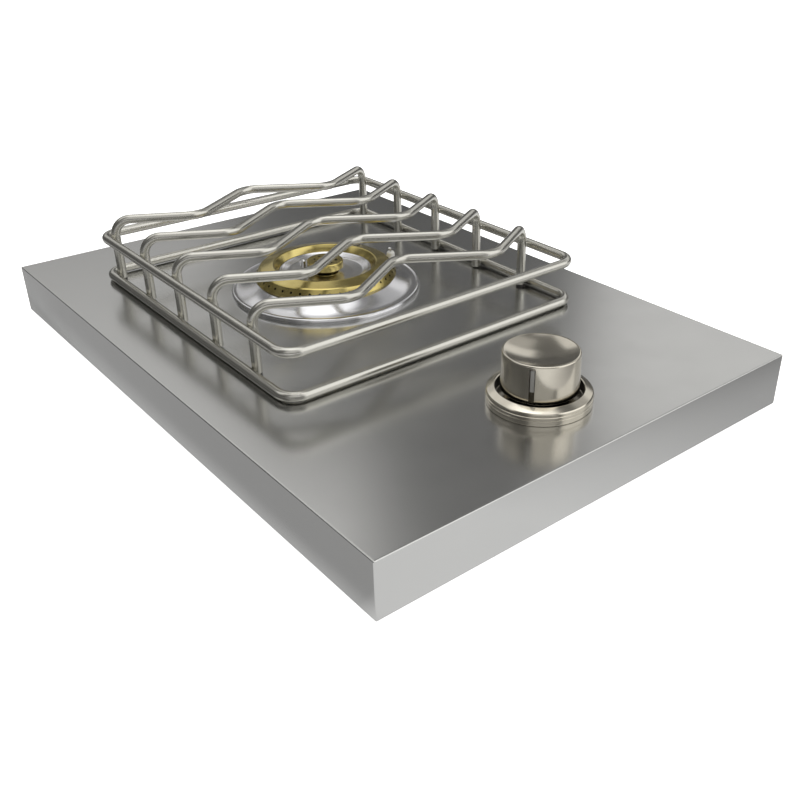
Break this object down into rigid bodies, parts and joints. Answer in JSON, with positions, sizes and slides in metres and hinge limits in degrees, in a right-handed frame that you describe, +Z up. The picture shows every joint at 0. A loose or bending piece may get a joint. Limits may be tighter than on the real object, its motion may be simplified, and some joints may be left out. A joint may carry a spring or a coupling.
{
  "type": "single gas hob burner",
  "caption": "Shallow stainless gas hob burner: brass ring burner in a polished dish, lift-off zig-zag wire grate and one push-and-turn metal knob.",
  "frame": {"origin": "centre of the bounding box's base, on the surface that the rubber feet stand on", "axes": "+Z up, +Y from the knob at the front towards the gas inlet at the back, +X to the right seen from the front"},
  "size_m": [0.318, 0.473, 0.0843],
  "materials": {
    "deck_steel": "satin stainless sheet with a faint grain from side to side",
    "polished_steel": "mirror polished",
    "rod_steel": "bright drawn rod with a soft sheen",
    "burner_brass": "satin turned brass",
    "fitting_brass": "machined brass",
    "cast_aluminium": "as cast, slightly rough",
    "tube_aluminium": "drawn tube",
    "knob_steel": "spun, with fine rings about the knob's axis",
    "pointer_metal": "satin insert",
    "zinc_steel": "zinc plated sheet and fasteners",
    "bright_steel": "bright wire and turned steel",
    "black_plastic": "fine moulded texture",
    "white_plastic": "smooth moulded nylon",
    "glazed_ceramic": null,
    "black_rubber": "matt moulded rubber",
    "dark_silicone": "matt silicone",
    "lead_insulation": "thin flexible insulation",
    "battery_wrap": "plain printed sleeve with no lettering"
  },
  "bodies": {
    "housing": {"deck_pan": "deck_steel", "cover_rails": "zinc_steel", "bottom_cover": "zinc_steel", "cover_screws": "zinc_steel", "clinch_nuts": "zinc_steel", "rubber_feet": "black_rubber", "drip_dish": "polished_steel", "burner_base": "cast_aluminium", "base_screws": "zinc_steel", "outer_jet": "fitting_brass", "inner_jet": "fitting_brass", "electrode_ceramic": "glazed_ceramic", "electrode_wire": "bright_steel", "sensor_probe": "bright_steel", "bezel_ring": "knob_steel", "bezel_gasket": "black_rubber", "bezel_screws": "zinc_steel", "valve_body": "fitting_brass", "valve_bonnet": "zinc_steel", "bonnet_screws": "zinc_steel", "valve_bracket": "zinc_steel", "valve_screws": "zinc_steel", "micro_switch": "black_plastic", "switch_pin": "bright_steel", "switch_bracket": "zinc_steel", "outer_gas_tube": "tube_aluminium", "inner_gas_tube": "tube_aluminium", "inlet_tube": "tube_aluminium", "tube_nuts": "fitting_brass", "inlet_fitting": "fitting_brass", "inlet_locknut": "fitting_brass", "spark_module": "black_plastic", "battery": "battery_wrap", "battery_spring": "bright_steel", "ignition_lead": "black_rubber", "switch_leads": "lead_insulation"},
    "grate": {"lower_loop": "rod_steel", "upper_loop": "rod_steel", "grate_bar_1": "rod_steel", "grate_bar_2": "rod_steel", "grate_bar_3": "rod_steel", "grate_bar_4": "rod_steel", "grate_bar_5": "rod_steel", "grate_feet": "dark_silicone"},
    "burner_head": {"outer_ring": "burner_brass", "inner_cup": "polished_steel", "inner_burner": "burner_brass", "inner_cap": "burner_brass"},
    "valve_rotor": {"valve_plug": "fitting_brass", "stem_spring": "bright_steel"},
    "knob": {"knob_shell": "knob_steel", "knob_hub": "black_plastic", "knob_pointer": "pointer_metal", "valve_stem": "bright_steel", "switch_collar": "white_plastic"},
    "lever": {"switch_lever": "bright_steel"},
    "plunger": {"switch_plunger": "white_plastic"},
    "cap": {"battery_cap": "black_plastic"}
  },
  "joints": [
    {"name": "grate_lift", "type": "slide", "parent": "housing", "child": "grate", "axis": [0, 0, 1], "range_m": [0, 0.08]},
    {"name": "burner_head_lift", "type": "slide", "parent": "housing", "child": "burner_head", "axis": [0, 0, 1], "range_m": [0, 0.02]},
    {"name": "knob_turn", "type": "hinge", "parent": "housing", "child": "valve_rotor", "pos_m": [0, -0.179, 0.0132], "axis": [0, 0, 1], "range_deg": [0, 200]},
    {"name": "knob_push", "type": "slide", "parent": "valve_rotor", "child": "knob", "axis": [0, 0, -1], "range_m": [0, 0.003], "stiffness_N_per_m": 2000, "springref_m": -0.002, "deforming": ["stem_spring"]},
    {"name": "lever_swing", "type": "hinge", "parent": "housing", "child": "lever", "pos_m": [0.031, -0.179, 0.0281], "axis": [0, -1, 0], "range_deg": [0, 7.8]},
    {"name": "plunger_press", "type": "slide", "parent": "housing", "child": "plunger", "axis": [0, 0, -1], "range_m": [0, 0.0014]},
    {"name": "cap_turn", "type": "hinge", "parent": "housing", "child": "cap", "pos_m": [0.088, 0.2235, 0.019], "axis": [0, 1, 0], "range_deg": [0, 90]}
  ],
  "couplings": [
    {"joint": "lever_swing", "follows": "knob_push", "rad_per_m": 45.3},
    {"joint": "plunger_press", "follows": "knob_push", "ratio": 0.4666}
  ]
}
